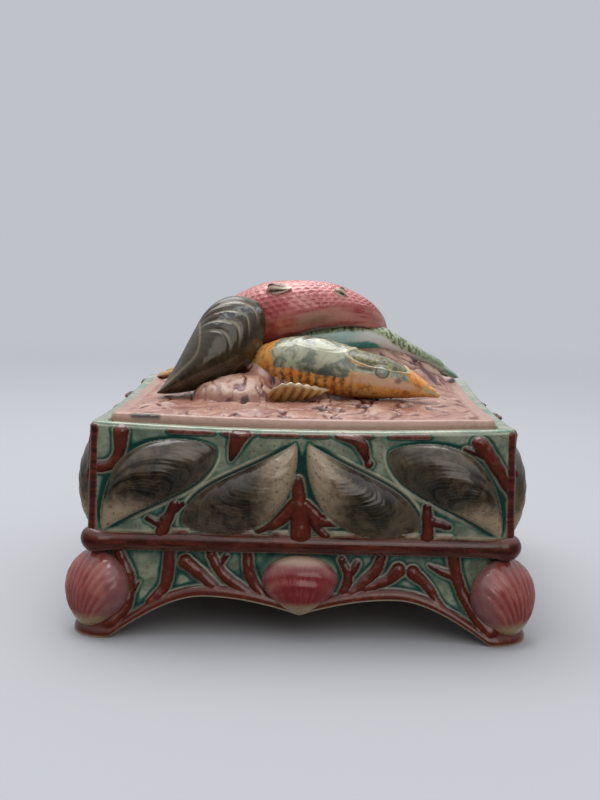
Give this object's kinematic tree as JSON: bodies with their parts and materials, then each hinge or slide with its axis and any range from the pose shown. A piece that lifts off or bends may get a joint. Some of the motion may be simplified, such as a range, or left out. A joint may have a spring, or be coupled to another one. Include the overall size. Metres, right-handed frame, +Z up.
{
  "type": "majolica lidded box",
  "caption": "Square glazed box on a flared, arched plinth, its walls in relief with mussels and coral, with a lift-off lid that carries a mussel and fish.",
  "frame": {"origin": "centre of the footprint, on the surface that the feet stand on", "axes": "+Z up, -Y towards the front, +X to the right seen from the front"},
  "size_m": [0.182, 0.182, 0.1336],
  "materials": {
    "box_glaze": "glossy lead glaze in sea green, olive brown, coral brown and pink",
    "lid_glaze": "glossy lead glaze in mauve pink, rose, ochre, olive brown and turquoise"
  },
  "bodies": {
    "root": {"box": "box_glaze", "lid": "lid_glaze"}
  },
  "joints": []
}
